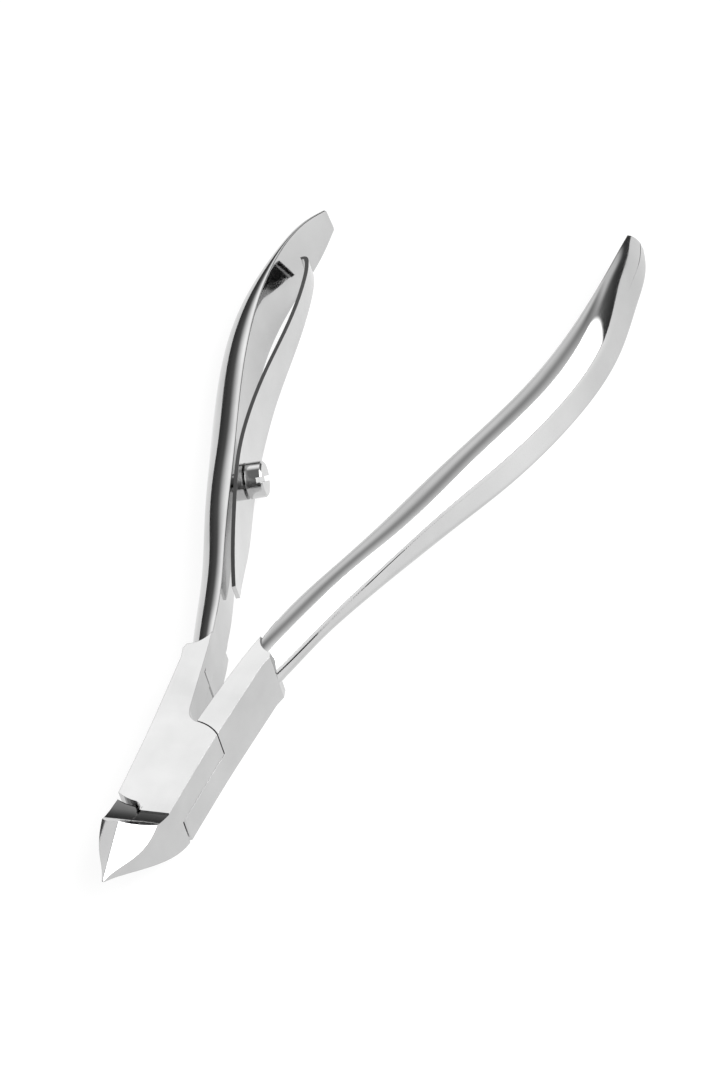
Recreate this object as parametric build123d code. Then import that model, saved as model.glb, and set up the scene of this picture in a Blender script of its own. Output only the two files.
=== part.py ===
"""Cuticle nipper: two lap-jointed levers on a flush rivet, with a leaf spring on one handle.

Units are millimetres. The origin is on the pivot axis at the flat back of the joint.
+Z runs along the pivot axis to the front, +Y from the jaws to the handles, +X to the right.
Lever A has the left handle, the front lap plate and the right jaw; lever B is its opposite.
"""

import os
from math import cos, radians, sin, tan

from build123d import *

# ---- driving dimensions -------------------------------------------------------------------
THICK = 6.2                 # joint, front face to back face
MID = THICK / 2             # parting plane between the two lap plates
LAP_GAP = 0.06              # running clearance between the lap plates
DISC_R = 5.8                # lap plate where it turns inside the other lever's shoulder
DISC_CLEAR = 0.13           # clearance of that shoulder
TAIL_R = 6.8                # lap plate on the jaw side
TAIL_CLEAR = 0.45           # visible gap between the plate and the opposite jaw's shoulder
MATE_GAP = 0.015            # each jaw stops this far short of the middle plane
PAST = 1.5                  # how far cutters run past the metal

# ---- pivot --------------------------------------------------------------------------------
PIN_R = 1.6
PIN_HEAD_R = 2.15           # countersunk head, flush with the back
PIN_HEAD_H = 0.7
PIN_TOP = 5.3               # the pin ends blind inside the front lap plate
PIN_CLEAR = 0.03            # running clearance in the back lap plate

# ---- joint block: half width along Y ------------------------------------------------------
FLANK = [(3.55, -7.4), (3.70, -3.0), (3.85, 0.0), (4.00, 3.0), (4.45, 9.0), (4.95, 15.0)]
BLOCK_END = [(5.30, 16.3), (5.00, 17.4), (4.00, 18.8)]
CARRIER_EDGE = [(3.50, 21.0), (2.82, 18.5), (2.00, 14.5), (1.45, 11.5), (0.95, 8.9), (0.15, 6.40)]
CLEAR_EDGE = [(3.50, 21.0), (2.82, 18.5), (2.05, 14.5), (1.62, 11.5), (1.25, 8.7), (0.90, 5.6)]
CROTCH_TIP = (-0.95, 5.70)  # end of the lap plate's rim beyond the middle plane
LAP_LIP = [(-1.30, -6.2), (-1.30, -6.67), (-0.50, -7.05), (-0.12, -7.90)]
LIP_ROOM = [(1.55, -5.0), (1.55, -7.085), (0.78, -7.50), (0.42, -8.20), (-1.0, -9.6), (-1.0, -5.0)]

# ---- round-nosed hollow where the flat joint face ends and the handle begins ----------------
SCOOP_R = 2.65
SCOOP_END = (5.60, 19.60, 6.35)     # centre of its round nose
SCOOP_ALONG = (0.27, 0.96, -0.10)   # it runs out along the handle

# ---- handle, section by section ------------------------------------------------------------
# inner edge x and y, front z, outer shoulder (out from the inner edge, z), widest point of the
# flank (out, z), back edge (out, z), and how far the back leans inward of the inner edge
STATIONS = [
    (1.85, 14.0, 5.20, 2.10, 3.30, 2.30, 2.50, 1.70, 1.20, 0.0),
    (2.95, 19.0, 5.80, 2.95, 3.45, 3.10, 2.80, 2.20, 1.30, 0.0),
    (4.53, 25.0, 5.92, 3.30, 3.50, 3.42, 2.80, 2.10, 1.20, 0.0),
    (7.08, 32.0, 5.72, 3.08, 3.45, 3.35, 2.40, 2.20, 0.95, 0.0),
    (9.60, 38.9, 5.55, 3.22, 3.58, 3.58, 2.05, 2.80, 0.65, 0.0),
    (11.82, 45.5, 5.50, 3.50, 3.38, 4.10, 1.45, 3.35, 0.30, 0.0),
    (13.93, 51.5, 5.40, 3.64, 2.85, 4.38, 0.80, 4.00, 0.05, 0.0),
    (17.95, 63.7, 5.30, 3.70, 2.65, 4.45, 0.45, 4.20, 0.05, 0.2),
    (19.85, 73.5, 5.75, 3.15, 3.00, 3.65, 0.70, 3.30, 0.10, 0.9),
    (20.15, 81.0, 5.60, 1.95, 3.20, 2.45, 1.10, 1.90, 0.20, 1.5),
    (19.60, 86.0, 4.65, 1.60, 2.75, 2.00, 1.30, 1.45, 0.40, 1.1),
    (18.85, 89.2, 3.45, 1.10, 2.40, 1.25, 1.55, 0.85, 0.85, 0.3),
]
FRONT_START = 5.0           # slope of the rounded front at the inner edge, in degrees
FRONT_END = 69.0            # and at the outer shoulder
FRONT_LEAD = 0.64           # how full the rounding is
BACK_TURN = 0.5             # how far the flank runs on before it turns under

# ---- jaws ---------------------------------------------------------------------------------
HEEL = (0.0, -12.25, 8.85)  # where the cutting edge begins
TIP = (0.0, -18.45, 6.10)   # where it ends
CORNER = (3.35, -10.60, 6.80)  # outer corner of the ground facet
JAW_SIDE = [(3.55, -7.4), (3.38, -9.9), (3.07, -12.1), (2.10, -14.6), (1.12, -16.3)]
JAW_UNDER = [(-5.0, 0.0), (-8.8, 0.85), (-11.9, 2.5), (-14.9, 4.15), (-18.6, 5.9)]
GROOVE = [(-5.0, 5.45), (-6.5, 5.74), (-8.0, 6.05), (-9.2, 6.38), (-10.6, 7.0), (-11.6, 7.9)]
GROOVE_START = -7.95        # where the groove leaves the front lap plate
GROOVE_LEAD = 0.1           # on the other lever it begins hidden under that plate
HEEL_TURN = 0.6             # the heel's rear face rises this much steeper than upright
TIP_BLUNT = 0.15            # the very tip is blunted by this much
FACET_SAG = 0.08            # depth of the hollow grinding
FACET_LENGTH = 60.0
TIP_FLAT = 0.12
JAW_ROOT = -1.0             # the jaw solid begins here, inside the joint

# ---- leaf spring --------------------------------------------------------------------------
LEAF_T = 0.45
LEAF = [  # y along the handle, height of the leaf above the inner face, width
    (28.0, 0.80, 1.7),
    (33.0, 0.80, 4.1),
    (38.0, 0.90, 5.9),
    (45.0, 0.90, 7.1),
    (54.0, 1.70, 5.7),
    (60.0, 2.80, 4.7),
    (66.0, 3.85, 3.8),
    (72.0, 4.20, 3.1),
    (77.0, 3.70, 2.7),
    (79.4, 3.00, 2.5),
]
CURL = [(80.15, 2.45), (79.95, 2.00)]   # free end, rolled towards its own handle
HALF_SPAN = 40.0            # more than the object reaches to either side
LEAF_BACK = 0.10            # the leaf stays this far in front of the flat back
LEAF_HOLE_CLEAR = 0.15

# ---- tension screw ------------------------------------------------------------------------
SCREW_Y = 45.0
SCREW_HEAD_R = 2.05
SCREW_HEAD_H = 1.9
SCREW_STEM_R = 1.0
SLOT_W = 0.6
SLOT_D = 0.6
SLOT_ANGLE = 40.0
SCREW_RIM = 0.2
SCREW_LEAF_LIFT = LEAF[3][1]
SCREW_HEAD_GAP = 0.15
SCREW_REACH = 2.0
SCREW_HOLE = 2.3
SCREW_CLEAR = 0.03

# ---- keeper for the leaf's tail, and the oval hole -----------------------------------------
KEEPER_Y = 27.9
KEEPER_LENGTH = 2.6
KEEPER_WIDTH = 2.6
KEEPER_LOW = 0.35
KEEPER_TALL = 1.15
KEEPER_STOP = 0.7
KEEPER_ROUND = 0.3
KEEPER_SUNK = 0.3           # how deep it roots in the handle
OVAL_Y = 62.5
OVAL_Z = 1.6
OVAL_LONG = 1.3
OVAL_SHORT = 0.5
OVAL_DEEP = 1.0

PARTS = "parts"
os.makedirs(PARTS, exist_ok=True)


# ---- small helpers ------------------------------------------------------------------------
def flip(points):
    """Plan points of the left side, from the right."""
    return [(-x, y) for x, y in points]


def slab(face, low, high):
    """A plan face made solid between two heights."""
    return extrude(Pos(0, 0, low) * face, amount=high - low, dir=(0, 0, 1))


def disc(radius):
    return make_face(CenterArc((0, 0), radius, 0, 360))


def closed(points):
    return make_face(Polyline(*points, close=True))


def to_left(shape):
    return mirror(shape, about=Plane.YZ)


# ---- handle -------------------------------------------------------------------------------
HANDLE_CURVE = Spline(*[(x, y, 0) for x, y, *_ in STATIONS])


def handle_plane(x, y):
    """Plane across the right handle: its X points outward and its Y points up."""
    along = HANDLE_CURVE.tangent_at(HANDLE_CURVE.param_at_point(Vector(x, y, 0)))
    return Plane(origin=(x, y, 0), x_dir=(along.Y, -along.X, 0), z_dir=-along)


def front_corner(front, thick, shoulder):
    """Where the tangents at both ends of the rounded front meet."""
    start, end = radians(FRONT_START), radians(FRONT_END)
    reach = (front - shoulder - tan(start) * thick) / (sin(end) - tan(start) * cos(end))
    return Vector(thick - reach * cos(end), shoulder + reach * sin(end))


def handle_section(x, y, front, thick, shoulder, belly, belly_z, foot, back, toe):
    edge, crest = Vector(0, front), Vector(thick, shoulder)
    corner = front_corner(front, thick, shoulder)
    pull_in = edge + (corner - edge) * FRONT_LEAD
    pull_out = crest + (corner - crest) * FRONT_LEAD
    widest = Vector(belly, belly_z)
    turn = widest + (widest - crest).normalized() * BACK_TURN * (belly_z - back)
    edges = [
        Bezier((0, front), (pull_in.X, pull_in.Y), (pull_out.X, pull_out.Y), (thick, shoulder)),
        Line((thick, shoulder), (belly, belly_z)),
        Bezier((belly, belly_z), (turn.X, turn.Y), (foot, back)),
        Line((foot, back), (-toe, back)),
        Line((-toe, back), (0, front)),
    ]
    return handle_plane(x, y) * make_face(edges)


def right_handle():
    return loft([handle_section(*station) for station in STATIONS])


# ---- joint block --------------------------------------------------------------------------
def block_outline(inner_edge):
    """Right handle side of the joint in plan; inner_edge runs from the handle to the pivot."""
    side = Spline(*[point for point in FLANK if point[1] >= 0])
    end = Polyline(FLANK[-1], *BLOCK_END, inner_edge[0])
    waist = [point for point in FLANK if point[1] == 0][0]
    root = Polyline(inner_edge[-1], (0, 0), waist)
    return make_face([side, *end.edges(), Spline(*inner_edge), *root.edges()])


def scoop():
    """Round-nosed cut that hollows the end of the joint's flat face towards the handle."""
    axis = Plane(origin=SCOOP_END, z_dir=SCOOP_ALONG)
    nose = Pos(*SCOOP_END) * Sphere(SCOOP_R)
    run = Cylinder(SCOOP_R, 4 * SCOOP_R, align=(Align.CENTER, Align.CENTER, Align.MIN))
    return nose + axis * run


def strip():
    """Whole width of the joint in plan, both sides of the middle plane."""
    top = Line(FLANK[-1], flip(FLANK)[-1])
    bottom = Line(FLANK[0], flip(FLANK)[0])
    return make_face([Spline(*FLANK), top, Spline(*flip(FLANK)), bottom])


def jaw_side_of(radius):
    """The part of a disc that lies towards the jaws."""
    return disc(radius) & Pos(0, JAW_ROOT - radius) * Rectangle(4 * radius, 2 * radius)


def lap_outline():
    """Lap plate in plan for the lever with the left handle and the right jaw."""
    low, outer, bend, end = LAP_LIP
    rim = Polyline(outer, low, (0, low[1]), (0, end[1]), end)
    lip = make_face([*rim.edges(), ThreePointArc(outer, bend, end)])
    own_jaw = closed([(0, FLANK[1][1]), FLANK[1], FLANK[0], (0, end[1])])
    return (strip() & (disc(DISC_R) + jaw_side_of(TAIL_R))) + lip + (own_jaw & strip())


def lap_clearance():
    """What a lever leaves free, in plan, for the other one's lap plate.

    It is drawn for the lever with the left handle and the right jaw.
    """
    start, outer, bend, end, far, back = LIP_ROOM
    rim = Polyline(end, far, back, start, outer)
    lip_room = make_face([*rim.edges(), ThreePointArc(outer, bend, end)])
    return disc(DISC_R + DISC_CLEAR) + jaw_side_of(TAIL_R + TAIL_CLEAR) + lip_room


# ---- jaw ----------------------------------------------------------------------------------
def jaw_blank():
    root = [point for point in FLANK if point[1] <= 0][::-1]
    inner = Polyline((TIP_FLAT, TIP[1]), (MATE_GAP, TIP[1]), (MATE_GAP, 0), root[0])
    outline = [Spline(*root), Spline(*JAW_SIDE, (TIP_FLAT, TIP[1])), *inner.edges()]
    return slab(make_face(outline), 0, HEEL[2] + PAST)


def jaw_profile():
    """Side view of the jaws: beak-shaped underside, cutting edge, heel and groove."""
    ceiling = HEEL[2] + PAST
    under = Spline(*[(0, y, z) for y, z in JAW_UNDER])
    top = Polyline(
        (0, *JAW_UNDER[-1]), (0, TIP[1] - TIP_BLUNT, TIP[2]), HEEL, (0, HEEL[1] + HEEL_TURN, ceiling),
        (0, JAW_ROOT, ceiling), (0, JAW_ROOT, 0.0), (0, *JAW_UNDER[0]),
    )
    face = make_face([under, *top.edges()])
    return extrude(face, amount=2 * FLANK[0][0], dir=(1, 0, 0))


def groove_cutter(start):
    """Removes the metal above the joint face and above the groove behind the heel."""
    ceiling = HEEL[2] + 2 * PAST
    floor = [(0, y, z) for y, z in GROOVE if y < start] + [HEEL]
    rim = Polyline(HEEL, (0, HEEL[1], ceiling), (0, PAST, ceiling), (0, PAST, THICK), (0, start, THICK))
    outline = make_face([Spline(*floor), *rim.edges(), Line((0, start, THICK), floor[0])])
    return extrude(outline, amount=2 * FLANK[0][0], dir=(1, 0, 0))


def facet_cutter():
    """Cylinder that hollow-grinds the facet between the cutting edge and the flank."""
    heel, tip, corner = Vector(*HEEL), Vector(*TIP), Vector(*CORNER)
    along = (tip - heel).normalized()
    normal = along.cross(corner - heel).normalized()
    if normal.Z < 0:
        normal = -normal
    across = normal.cross(along)
    if across.X < 0:
        across = -across
    span = (corner - heel).dot(across)
    radius = (span * span / 4 + FACET_SAG**2) / (2 * FACET_SAG)
    centre = heel + across * (span / 2) + normal * (radius - FACET_SAG)
    return Plane(origin=centre, z_dir=along) * Cylinder(radius, FACET_LENGTH)


def right_jaw(front):
    start = GROOVE_START if front else GROOVE[0][0] + GROOVE_LEAD
    return (jaw_blank() & jaw_profile()) - groove_cutter(start) - facet_cutter()


# ---- levers -------------------------------------------------------------------------------
def lever(front):
    """A lever with the left handle and the right jaw; front says which lap it carries."""
    if front:
        parting = MID + LAP_GAP / 2
        carrier, other, room = (parting, THICK), (0, parting), (-PAST, parting)
    else:
        parting = MID - LAP_GAP / 2
        carrier, other, room = (0, parting), (parting, THICK), (parting, 2 * THICK)
    carrier_block = slab(block_outline([*CARRIER_EDGE, CROTCH_TIP]), *carrier)
    other_block = slab(block_outline(CLEAR_EDGE), *other)
    handle_side = to_left(carrier_block + other_block - scoop() + right_handle())
    return (handle_side + right_jaw(front)) - slab(lap_clearance(), *room) + slab(lap_outline(), *carrier)


# ---- pivot --------------------------------------------------------------------------------
def pivot_pin(grow=0.0):
    """Pin with a countersunk head, ground flush with the back; grow makes its hole."""
    radius, head = PIN_R + grow, PIN_HEAD_R + grow
    rim = PIN_HEAD_H - (PIN_HEAD_R - PIN_R)
    profile = [(0, 0), (head, 0), (head, rim), (radius, PIN_HEAD_H), (radius, PIN_TOP), (0, PIN_TOP)]
    outline = make_face(Polyline(*[(x, 0, z) for x, z in profile], close=True))
    return revolve(outline, axis=Axis.Z)


# ---- spring and screw, built on the right handle and mirrored ------------------------------
def inner_point(y, lift=0.0, z=MID):
    """Point above the right handle's inner face at the height y along the object."""
    cut = Edge.make_line((-HALF_SPAN, y, 0), (HALF_SPAN, y, 0))
    hit = HANDLE_CURVE.intersect(cut)
    where = hit.vertices()[0] if hasattr(hit, "vertices") else hit[0]
    point = Vector(where.X, where.Y, 0)
    along = HANDLE_CURVE.tangent_at(HANDLE_CURVE.param_at_point(point))
    inward = Vector(-along.Y, along.X, 0)
    return point + inward * lift + Vector(0, 0, z), along, inward


def leaf_spring():
    """Willow-leaf strip: its side curve made thick, then cut to its leaf outline."""
    centre = [inner_point(y, lift, 0)[0] for y, lift in [row[:2] for row in LEAF] + CURL]
    strip_face = trace(Spline(*centre), LEAF_T)
    strip_body = extrude(strip_face, amount=THICK * 2, dir=(0, 0, 1))
    front = [(0, y, MID + width / 2) for y, _, width in LEAF]
    back = [(0, y, max(MID - width / 2, LEAF_BACK)) for y, _, width in LEAF]
    tail = ThreePointArc(back[0], (0, LEAF[0][0] - LEAF[0][2] / 2, MID), front[0])
    far_y = CURL[0][0] + PAST
    tip = Polyline(front[-1], (0, far_y, front[-1][2]), (0, far_y, back[-1][2]), back[-1])
    outline = make_face([Spline(*front), *tip.edges(), Spline(*back), tail])
    leaf = (Pos(0, 0, -THICK / 2) * strip_body) & extrude(outline, amount=HALF_SPAN, dir=(1, 0, 0))
    return leaf - screw_bar(SCREW_STEM_R + LEAF_HOLE_CLEAR, -SCREW_REACH, THICK)


def screw_bar(radius, low, high):
    """Round bar on the screw's axis between two heights above the inner face."""
    seat, _, inward = inner_point(SCREW_Y, low)
    bar = Cylinder(radius, high - low, align=(Align.CENTER, Align.CENTER, Align.MIN))
    return Plane(origin=seat, z_dir=inward) * bar


def tension_screw():
    """Cheese-head screw with a chamfered rim and a straight slot."""
    under = SCREW_LEAF_LIFT + LEAF_T / 2 + SCREW_HEAD_GAP
    seat, _, inward = inner_point(SCREW_Y, under)
    head = Cylinder(SCREW_HEAD_R, SCREW_HEAD_H, align=(Align.CENTER, Align.CENTER, Align.MIN))
    head = chamfer(head.edges().group_by(Axis.Z)[-1], SCREW_RIM)
    slot = Pos(0, 0, SCREW_HEAD_H) * Box(3 * SCREW_HEAD_R, SLOT_W, 2 * SLOT_D)
    head -= Rot(0, 0, SLOT_ANGLE) * slot
    return Plane(origin=seat, z_dir=inward) * head + screw_bar(SCREW_STEM_R, -SCREW_REACH, under)


def keeper():
    """Raised lug on the inner face, with a notch that the leaf's tail lies in."""
    seat, along, inward = inner_point(KEEPER_Y, -KEEPER_SUNK)
    frame = Plane(origin=seat, x_dir=along, z_dir=inward)
    low, tall = KEEPER_LOW + KEEPER_SUNK, KEEPER_TALL + KEEPER_SUNK
    base = Pos(0, 0, low / 2) * Box(KEEPER_LENGTH, KEEPER_WIDTH, low)
    stop = Pos(-KEEPER_LENGTH / 2 + KEEPER_STOP / 2, 0, tall / 2) * Box(KEEPER_STOP, KEEPER_WIDTH, tall)
    return frame * fillet((base + stop).edges().filter_by(Axis.Z), KEEPER_ROUND)


def relief_hole():
    """Small oval blind hole in the inner face."""
    seat, along, inward = inner_point(OVAL_Y, OVAL_DEEP, OVAL_Z)
    frame = Plane(origin=seat, x_dir=along, z_dir=-inward)
    return frame * extrude(SlotOverall(OVAL_LONG, OVAL_SHORT), amount=2 * OVAL_DEEP)


def build_parts():
    lever_a = lever(True) + to_left(keeper())
    lever_a -= to_left(screw_bar(SCREW_STEM_R + SCREW_CLEAR, -SCREW_HOLE, PAST))
    lever_a -= to_left(relief_hole())
    lever_a -= pivot_pin()
    lever_b = to_left(lever(False)) - pivot_pin(PIN_CLEAR)
    return {
        "lever_a": lever_a,
        "lever_b": lever_b,
        "pivot_rivet": pivot_pin(),
        "leaf_spring": to_left(leaf_spring()),
        "tension_screw": to_left(tension_screw()),
    }


for node, shape in build_parts().items():
    export_step(shape, os.path.join(PARTS, node + ".step"))
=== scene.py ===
"""Looks of a cuticle nipper: polished steel on a plain white table, seen from the front right."""

from math import asin, cos, radians, sin, tan

import bmesh
import bpy
import numpy as np
from mathutils import Matrix, Vector


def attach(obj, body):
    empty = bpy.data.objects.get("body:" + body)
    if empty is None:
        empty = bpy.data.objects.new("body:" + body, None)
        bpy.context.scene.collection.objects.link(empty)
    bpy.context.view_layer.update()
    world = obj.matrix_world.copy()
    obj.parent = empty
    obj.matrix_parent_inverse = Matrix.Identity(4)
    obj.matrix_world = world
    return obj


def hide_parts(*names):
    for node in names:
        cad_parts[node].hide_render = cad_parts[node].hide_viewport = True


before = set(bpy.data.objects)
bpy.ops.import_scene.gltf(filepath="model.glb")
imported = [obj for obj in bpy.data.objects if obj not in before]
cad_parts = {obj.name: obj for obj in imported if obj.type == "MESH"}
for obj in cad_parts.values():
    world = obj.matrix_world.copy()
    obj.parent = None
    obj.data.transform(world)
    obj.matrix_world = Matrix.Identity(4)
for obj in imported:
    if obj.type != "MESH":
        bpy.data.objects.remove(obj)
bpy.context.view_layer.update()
MM = 0.001

# ---- camera: direction towards it from the object, and where it aims --------------------
AZIMUTH = radians(35.09)        # from the -Y side, turned towards +X
ELEVATION = radians(40.51)
ROLL = radians(18.94)
DISTANCE = 1.0753
AIM = Vector((0.0162, 0.0238, 0.0174))
FRAME_HEIGHT = 0.11690          # height of what the camera sees at that distance
SENSOR = 36.0

# ---- studio -----------------------------------------------------------------------------
FLOOR_SIZE = 3.0
FLOOR_Z = -0.0001
FLOOR_GLOW = 0.88

# ---- handles, in mm ---------------------------------------------------------------------
# inner edge x and y, front z, outer shoulder (out from the inner edge, z), widest point of the
# flank (out, z), back edge (out, z), and how far the back leans inward of the inner edge
STATIONS = (
    (1.85, 14.0, 5.20, 2.10, 3.30, 2.30, 2.50, 1.70, 1.20, 0.0),
    (2.95, 19.0, 5.80, 2.95, 3.45, 3.10, 2.80, 2.20, 1.30, 0.0),
    (4.53, 25.0, 5.92, 3.30, 3.50, 3.42, 2.80, 2.10, 1.20, 0.0),
    (7.08, 32.0, 5.72, 3.08, 3.45, 3.35, 2.40, 2.20, 0.95, 0.0),
    (9.60, 38.9, 5.55, 3.22, 3.58, 3.58, 2.05, 2.80, 0.65, 0.0),
    (11.82, 45.5, 5.50, 3.50, 3.38, 4.10, 1.45, 3.35, 0.30, 0.0),
    (13.93, 51.5, 5.40, 3.64, 2.85, 4.38, 0.80, 4.00, 0.05, 0.0),
    (17.95, 63.7, 5.30, 3.70, 2.65, 4.45, 0.45, 4.20, 0.05, 0.2),
    (19.85, 73.5, 5.75, 3.15, 3.00, 3.65, 0.70, 3.30, 0.10, 0.9),
    (20.15, 81.0, 5.60, 1.95, 3.20, 2.45, 1.10, 1.90, 0.20, 1.5),
    (19.60, 86.0, 4.65, 1.60, 2.75, 2.00, 1.30, 1.45, 0.40, 1.1),
    (18.85, 89.2, 3.45, 1.10, 2.40, 1.25, 1.55, 0.85, 0.85, 0.3),
)
ROWS = 260                      # rings along a handle
FRONT_START = radians(5)        # slope of the rounded front at the inner edge
FRONT_END = radians(69)         # and at the outer shoulder
FRONT_LEAD = 0.64               # how full the rounding is
INNER_ROUND = 0.14
SHOULDER_ROUND = 0.25
BACK_TURN = 0.5                 # how far the flank runs on before it turns under
GROW = 0.02                     # the handle's skin stands this far outside the CAD solid
NEAR = 0.01                     # half the step that a direction along the handle is taken over
SINK = 0.10                     # below SINK_Y its inner face stays inside the joint block
SINK_Y = 20.6
TIP_DOME = 0.5                  # length of the rounded end
DOME_RINGS = (15, 30, 45, 60, 72, 82, 88)   # degrees round that end
SMOOTH_BELOW = 16               # degrees; a sharper turn between faces is an edge
CUT_Y = 22.0                    # the joint's mesh is taken from the CAD model below this


def make_camera():
    towards = Vector((cos(ELEVATION) * sin(AZIMUTH), -cos(ELEVATION) * cos(AZIMUTH), sin(ELEVATION)))
    level = Vector((cos(AZIMUTH), sin(AZIMUTH), 0.0))
    upright = towards.cross(level)
    right = level * cos(ROLL) - upright * sin(ROLL)
    up = level * sin(ROLL) + upright * cos(ROLL)
    data = bpy.data.cameras.new("camera")
    data.sensor_fit = "VERTICAL"
    data.sensor_height = SENSOR
    data.lens = SENSOR * DISTANCE / FRAME_HEIGHT
    data.clip_start = 0.05
    data.clip_end = 20.0
    camera = bpy.data.objects.new("camera", data)
    turn = Matrix((right, up, towards)).transposed().to_4x4()
    camera.matrix_world = Matrix.Translation(AIM + towards * DISTANCE) @ turn
    bpy.context.scene.collection.objects.link(camera)
    bpy.context.scene.camera = camera
    return camera


# ---- curves -----------------------------------------------------------------------------
def cubic(knots, values):
    """Natural cubic spline through values; returns a function of the knot parameter."""
    x, y = np.array(knots, float), np.array(values, float)
    h = np.diff(x)
    n = len(x)
    a, b = np.eye(n), np.zeros(n)
    for i in range(1, n - 1):
        a[i, i - 1:i + 2] = h[i - 1], 2 * (h[i - 1] + h[i]), h[i]
        b[i] = 6 * ((y[i + 1] - y[i]) / h[i] - (y[i] - y[i - 1]) / h[i - 1])
    m = np.linalg.solve(a, b)

    def value(t):
        i = int(np.clip(np.searchsorted(x, t) - 1, 0, n - 2))
        p, q, w = (x[i + 1] - t) / h[i], (t - x[i]) / h[i], h[i] ** 2 / 6
        return p * y[i] + q * y[i + 1] + w * ((p**3 - p) * m[i] + (q**3 - q) * m[i + 1])

    return value


def bezier(p0, p1, p2, p3, steps):
    points = []
    for t in np.linspace(0, 1, steps + 1):
        s = 1 - t
        weights = s**3, 3 * s * s * t, 3 * s * t * t, t**3
        points.append(tuple(sum(w * p[k] for w, p in zip(weights, (p0, p1, p2, p3))) for k in (0, 1)))
    return points


def fillet(before, corner, after, radius, steps):
    """Points of a smooth turn that replaces the corner of an outline."""
    a, c, b = (np.array(p, float) for p in (before, corner, after))
    reach_a = min(radius, 0.45 * np.linalg.norm(a - c))
    reach_b = min(radius, 0.45 * np.linalg.norm(b - c))
    p0 = c + (a - c) / np.linalg.norm(a - c) * reach_a
    p3 = c + (b - c) / np.linalg.norm(b - c) * reach_b
    return bezier(p0, p0 + (c - p0) * 0.6, p3 + (c - p3) * 0.6, p3, steps)


def between(start, end, steps):
    """Points strictly between two ends."""
    a, b = np.array(start, float), np.array(end, float)
    return [tuple(a + (b - a) * t) for t in np.linspace(0, 1, steps + 2)[1:-1]]


# ---- handle -----------------------------------------------------------------------------
def handle_section(front, thick, shoulder, belly, belly_z, foot, back, toe):
    """Outline across a handle, (outward, up), from the inner edge over the front."""
    inner, crest, widest = np.array((0.0, front)), np.array((thick, shoulder)), np.array((belly, belly_z))
    reach = front - shoulder - tan(FRONT_START) * thick
    reach /= sin(FRONT_END) - tan(FRONT_START) * cos(FRONT_END)
    corner = crest + reach * np.array((-cos(FRONT_END), sin(FRONT_END)))
    pull_in, pull_out = inner + (corner - inner) * FRONT_LEAD, crest + (corner - crest) * FRONT_LEAD
    over = bezier(inner, pull_in, pull_out, crest, 44)
    flank = (widest - crest) / np.linalg.norm(widest - crest)
    turn = widest + flank * BACK_TURN * (belly_z - back)
    low, heel = (foot, back), (-toe, back)
    points = fillet(heel, inner, over[6], INNER_ROUND, 6)
    points += over[3:43]
    points += fillet(over[42], crest, widest, SHOULDER_ROUND, 5)
    points += between(crest, widest, 8)
    under = bezier(widest, widest + (turn - widest) * 2 / 3, turn + (np.array(low) - turn) / 3, low, 10)
    points += under[:-1]
    points += fillet(under[-2], low, heel, INNER_ROUND, 4)
    points += between(low, heel, 3)
    points += fillet(low, heel, inner, INNER_ROUND, 4)
    points += between(heel, inner, 6)
    return np.array([tuple(p) for p in points])


def handle_mesh():
    """Vertices and faces of the right handle, a closed skin of rings, in mm."""
    places = np.array([row[:2] for row in STATIONS])
    knots = np.concatenate([[0], np.cumsum(np.hypot(*np.diff(places, axis=0).T))])
    curves = [cubic(knots, column) for column in zip(*STATIONS)]
    length = knots[-1]
    rings = []
    straight = length - TIP_DOME
    stops = list(np.linspace(0, straight, ROWS))
    stops += [straight + TIP_DOME * sin(radians(a)) for a in DOME_RINGS]
    for t in stops:
        x, y, *row = (curve(t) for curve in curves)
        front, thick, back = row[0], row[1], row[6]
        ahead = Vector([curve(t + NEAR) - curve(t - NEAR) for curve in curves[:2]])
        ahead.normalize()
        outward = (ahead.y, -ahead.x)
        ring = handle_section(*row)
        middle = np.array([thick / 2, (back + front) / 2])
        if t > straight:
            shrink = cos(asin(min(1.0, (t - straight) / TIP_DOME)))
            ring = middle + (ring - middle) * shrink
        else:
            away = ring - middle
            ring = ring + GROW * away / np.linalg.norm(away, axis=1)[:, None]
            sunk = SINK * np.clip((SINK_Y - y) / 1.5, 0, 1)
            ring[:, 0] = np.maximum(ring[:, 0], sunk - row[7])
        rings.append([(x + outward[0] * u, y + outward[1] * u, z) for u, z in ring])
    count = len(rings[0])
    vertices = [point for ring in rings for point in ring]
    faces = []
    for i in range(len(rings) - 1):
        for j in range(count):
            k = (j + 1) % count
            faces.append((i * count + j, i * count + k, (i + 1) * count + k, (i + 1) * count + j))
    faces.append(tuple(range(count))[::-1])
    faces.append(tuple(range((len(rings) - 1) * count, len(rings) * count)))
    return vertices, faces


def mesh_object(name, vertices, faces):
    mesh = bpy.data.meshes.new(name)
    mesh.from_pydata([tuple(MM * c for c in v) for v in vertices], [], faces)
    mesh.validate()
    piece = bpy.data.objects.new(name, mesh)
    bpy.context.scene.collection.objects.link(piece)
    repair = bmesh.new()
    repair.from_mesh(mesh)
    bmesh.ops.recalc_face_normals(repair, faces=repair.faces)
    repair.to_mesh(mesh)
    repair.free()
    return piece


def joint_mesh(node):
    """The CAD lever's own mesh up to CUT_Y, closed where it is cut."""
    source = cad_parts[node].data
    work = bmesh.new()
    work.from_mesh(source)
    bmesh.ops.remove_doubles(work, verts=work.verts, dist=1e-7)
    cut = bmesh.ops.bisect_plane(
        work, geom=work.verts[:] + work.edges[:] + work.faces[:],
        plane_co=(0, CUT_Y * MM, 0), plane_no=(0, 1, 0), clear_outer=True,
    )
    edges = [e for e in cut["geom_cut"] if isinstance(e, bmesh.types.BMEdge)]
    bmesh.ops.holes_fill(work, edges=edges)
    bmesh.ops.recalc_face_normals(work, faces=work.faces)
    mesh = bpy.data.meshes.new(node + "_joint")
    work.to_mesh(mesh)
    work.free()
    piece = bpy.data.objects.new(node + "_joint", mesh)
    bpy.context.scene.collection.objects.link(piece)
    return piece


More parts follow.
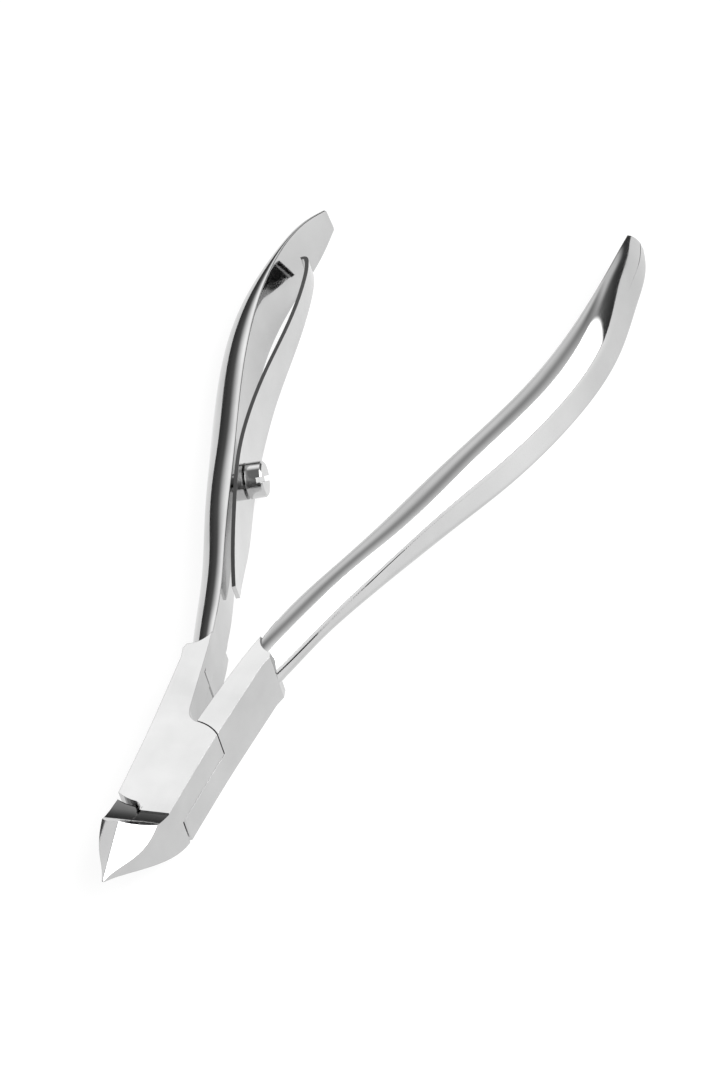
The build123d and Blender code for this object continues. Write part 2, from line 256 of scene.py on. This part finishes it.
def apply_modifiers(piece):
    view = bpy.context.evaluated_depsgraph_get()
    mesh = bpy.data.meshes.new_from_object(piece.evaluated_get(view))
    piece.modifiers.clear()
    piece.data = mesh


def smooth_by_angle(piece, degrees):
    mesh = piece.data
    if "custom_normal" in mesh.attributes:
        mesh.attributes.remove(mesh.attributes["custom_normal"])
    mesh.shade_smooth()
    mesh.set_sharp_from_angle(angle=radians(degrees))


def make_lever(node, body, side, material):
    """side is 1 for the right handle and -1 for the left."""
    vertices, faces = handle_mesh()
    handle = mesh_object(node + "_handle", [(side * x, y, z) for x, y, z in vertices], faces)
    lever = joint_mesh(node)
    lever.name = node + "_forging"
    union = lever.modifiers.new("union", "BOOLEAN")
    union.operation = "UNION"
    union.solver = "MANIFOLD"
    union.object = handle
    apply_modifiers(lever)
    bpy.data.objects.remove(handle)
    lever.data.materials.clear()
    lever.data.materials.append(material)
    smooth_by_angle(lever, SMOOTH_BELOW)
    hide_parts(node)
    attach(lever, body)
    return lever


# ---- node helpers -----------------------------------------------------------------------
def new_material(name):
    material = bpy.data.materials.new(name)
    material.use_nodes = True
    nodes = material.node_tree.nodes
    nodes.clear()
    output = nodes.new("ShaderNodeOutputMaterial")
    shader = nodes.new("ShaderNodeBsdfPrincipled")
    material.node_tree.links.new(shader.outputs[0], output.inputs[0])
    return material, nodes, material.node_tree.links, shader


def spread(nodes, links, value, low, high, start=0.0, end=1.0):
    """A value carried from one range to another."""
    node = nodes.new("ShaderNodeMapRange")
    for name, number in (("From Min", start), ("From Max", end), ("To Min", low), ("To Max", high)):
        node.inputs[name].default_value = number
    links.new(value, node.inputs["Value"])
    return node.outputs["Result"]


def noise(nodes, links, vector, scale, detail, stretch=(1, 1, 1)):
    """Noise on stretched coordinates."""
    mapping = nodes.new("ShaderNodeMapping")
    mapping.inputs["Scale"].default_value = stretch
    links.new(vector, mapping.inputs["Vector"])
    grain = nodes.new("ShaderNodeTexNoise")
    grain.inputs["Scale"].default_value = scale
    grain.inputs["Detail"].default_value = detail
    links.new(mapping.outputs["Vector"], grain.inputs["Vector"])
    return grain.outputs["Fac"]


def calc(nodes, links, kind, *values):
    node = nodes.new("ShaderNodeMath")
    node.operation = kind
    for socket, value in zip(node.inputs, values):
        if isinstance(value, (int, float)):
            socket.default_value = value
        else:
            links.new(value, socket)
    return node.outputs[0]


def steel(name, colour, roughness, stretch=(1, 0.06, 1), brushing=0.02, edge=0.06, tint=0.05):
    """Polished or ground steel: smudges, fine polishing lines, rounded edges."""
    material, nodes, links, shader = new_material(name)
    shader.inputs["Metallic"].default_value = 1.0
    place = nodes.new("ShaderNodeTexCoord").outputs["Object"]
    smudge = noise(nodes, links, place, 160.0, 4.0)
    lines = noise(nodes, links, place, 5200.0, 2.0, stretch)
    worn = calc(nodes, links, "ADD", spread(nodes, links, smudge, 0.0, roughness * 0.9, 0.35, 0.75),
                spread(nodes, links, lines, 0.0, roughness * 0.5, 0.3, 0.7))
    links.new(calc(nodes, links, "ADD", worn, roughness * 0.55), shader.inputs["Roughness"])
    shade = nodes.new("ShaderNodeMix")
    shade.data_type = "RGBA"
    links.new(spread(nodes, links, smudge, 0.0, 1.0, 0.3, 0.7), shade.inputs["Factor"])
    shade.inputs["A"].default_value = (*[c * (1 + tint) for c in colour], 1.0)
    shade.inputs["B"].default_value = (*[c * (1 - tint) for c in colour], 1.0)
    links.new(shade.outputs["Result"], shader.inputs["Base Color"])
    rounded = nodes.new("ShaderNodeBevel")
    rounded.samples = 6
    rounded.inputs["Radius"].default_value = edge * MM
    bump = nodes.new("ShaderNodeBump")
    bump.inputs["Strength"].default_value = brushing
    bump.inputs["Distance"].default_value = 0.02 * MM
    links.new(lines, bump.inputs["Height"])
    links.new(rounded.outputs["Normal"], bump.inputs["Normal"])
    links.new(bump.outputs["Normal"], shader.inputs["Normal"])
    return material, nodes, links, shader, shade.outputs["Result"]


def dull_and_painted_dark_edges(made, colour, roughness):
    """Dulls and darkens the faces that look along Z, the strip's edges: the added roughness is the
    sheared edges' dull finish, the dark colour is painted shade along those edges.
    """
    material, nodes, links, shader, shade = made
    geometry = nodes.new("ShaderNodeTexCoord")
    split = nodes.new("ShaderNodeSeparateXYZ")
    links.new(geometry.outputs["Normal"], split.inputs["Vector"])
    flat = spread(nodes, links, calc(nodes, links, "ABSOLUTE", split.outputs["Z"]), 0.0, 1.0, 0.6, 0.8)
    grain = noise(nodes, links, geometry.outputs["Object"], 3000.0, 3.0, (1, 1, 0.1))
    # the mix towards colour on the faces that look along Z is painted shade that darkens the strip's
    # edges
    mix = nodes.new("ShaderNodeMix")
    mix.data_type = "RGBA"
    links.new(flat, mix.inputs["Factor"])
    links.new(shade, mix.inputs["A"])
    mix.inputs["B"].default_value = (*colour, 1.0)
    links.new(mix.outputs["Result"], shader.inputs["Base Color"])
    rough = shader.inputs["Roughness"].links[0].from_socket
    uneven = spread(nodes, links, grain, roughness * 0.7, roughness * 1.2)
    dull = calc(nodes, links, "MULTIPLY", flat, uneven)
    links.new(calc(nodes, links, "ADD", rough, dull), shader.inputs["Roughness"])
    return material


def floor_material():
    material, nodes, links, shader = new_material("table")
    shader.inputs["Base Color"].default_value = (0.15, 0.15, 0.15, 1.0)
    shader.inputs["Roughness"].default_value = 0.7
    shader.inputs["Emission Color"].default_value = (1.0, 1.0, 1.0, 1.0)
    shader.inputs["Emission Strength"].default_value = FLOOR_GLOW
    return material


def make_floor():
    half = FLOOR_SIZE / 2
    mesh = bpy.data.meshes.new("floor")
    around = ((-half, -half), (half, -half), (half, half), (-half, half))
    corners = [(x, y, FLOOR_Z) for x, y in around]
    mesh.from_pydata(corners, [], [(0, 1, 2, 3)])
    floor = bpy.data.objects.new("floor", mesh)
    bpy.context.scene.collection.objects.link(floor)
    mesh.materials.append(floor_material())


# ---- light: softboxes with feathered edges, far away on all sides --------------------------
def direction(azimuth, elevation):
    """Unit vector; azimuth 0 is +Y (behind the object), 90 is +X, elevation is above the table."""
    a, e = radians(azimuth), radians(elevation)
    return Vector((cos(e) * sin(a), cos(e) * cos(a), sin(e)))


class Sky:
    """Adds up soft rectangles of light on a dim sky."""

    def __init__(self, name):
        world = bpy.data.worlds.new(name)
        bpy.context.scene.world = world
        world.use_nodes = True
        self.nodes = world.node_tree.nodes
        self.links = world.node_tree.links
        self.background = self.nodes["Background"]
        self.background.inputs["Color"].default_value = (1, 1, 1, 1)
        self.look = self.nodes.new("ShaderNodeTexCoord").outputs["Generated"]
        self.total = None

    def math(self, kind, *values):
        node = self.nodes.new("ShaderNodeMath")
        node.operation = kind
        for socket, value in zip(node.inputs, values):
            if isinstance(value, (int, float)):
                socket.default_value = value
            else:
                self.links.new(value, socket)
        return node.outputs[0]

    def along(self, axis):
        node = self.nodes.new("ShaderNodeVectorMath")
        node.operation = "DOT_PRODUCT"
        self.links.new(self.look, node.inputs[0])
        node.inputs[1].default_value = axis
        return node.outputs["Value"]

    def ramp(self, value, start, end, low=0.0, high=1.0):
        node = self.nodes.new("ShaderNodeMapRange")
        node.interpolation_type = "SMOOTHSTEP"
        self.links.new(value, node.inputs["Value"])
        for name, number in (("From Min", start), ("From Max", end), ("To Min", low), ("To Max", high)):
            node.inputs[name].default_value = number
        return node.outputs["Result"]

    def add(self, value):
        self.total = value if self.total is None else self.math("ADD", self.total, value)

    def softbox(self, azimuth, elevation, wide, tall, feather, power, turn=0.0):
        """wide and tall are half sizes at unit distance."""
        axis = direction(azimuth, elevation)
        side = axis.cross(Vector((0, 0, 1))).normalized()
        up = side.cross(axis)
        spin = Matrix.Rotation(radians(turn), 3, axis)
        side, up = spin @ side, spin @ up
        ahead = self.math("MAXIMUM", self.along(axis), 0.0001)
        shape = self.ramp(self.along(axis), 0.0, 0.1)
        for across, half in ((side, wide), (up, tall)):
            offset = self.math("ABSOLUTE", self.math("DIVIDE", self.along(across), ahead))
            shape = self.math("MULTIPLY", shape, self.ramp(offset, half + feather, half - feather))
        self.add(self.math("MULTIPLY", shape, power))

    def finish(self):
        self.links.new(self.total, self.background.inputs["Strength"])


def make_sky():
    sky = Sky("studio")
    sky.add(sky.ramp(sky.along((0, 0, 1)), 0.0, 0.8, 0.05, 0.22))
    sky.softbox(-44, 38, 0.20, 0.16, 0.16, 1.45, turn=-40)
    sky.softbox(0, 34, 0.50, 0.26, 0.16, 0.72)
    sky.softbox(-27, 56, 0.30, 0.14, 0.14, 0.85)
    sky.softbox(80, 58, 0.40, 0.40, 0.36, 1.1)
    sky.softbox(86, 31, 0.66, 0.56, 0.05, 4.4)
    sky.finish()


make_camera()
make_floor()
make_sky()

forging = steel("forging steel", (0.50, 0.50, 0.50), 0.075)[0]
make_lever("lever_a", "lever_a", -1, forging)
make_lever("lever_b", "lever_b", 1, forging)
# the dark (0.10) colour on the spring's edges is painted shade; the added roughness is their dull sheared
# finish
strip = dull_and_painted_dark_edges(steel("spring steel", (0.54, 0.54, 0.54), 0.10), (0.10, 0.10, 0.10), 0.35)
turned = steel("turned steel", (0.52, 0.52, 0.52), 0.14, stretch=(1, 1, 0.1), brushing=0.06, edge=0.10)[0]
for node, look in (("pivot_rivet", forging), ("leaf_spring", strip), ("tension_screw", turned)):
    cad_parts[node].material_slots[0].material = look

bpy.context.scene.view_settings.view_transform = "Standard"
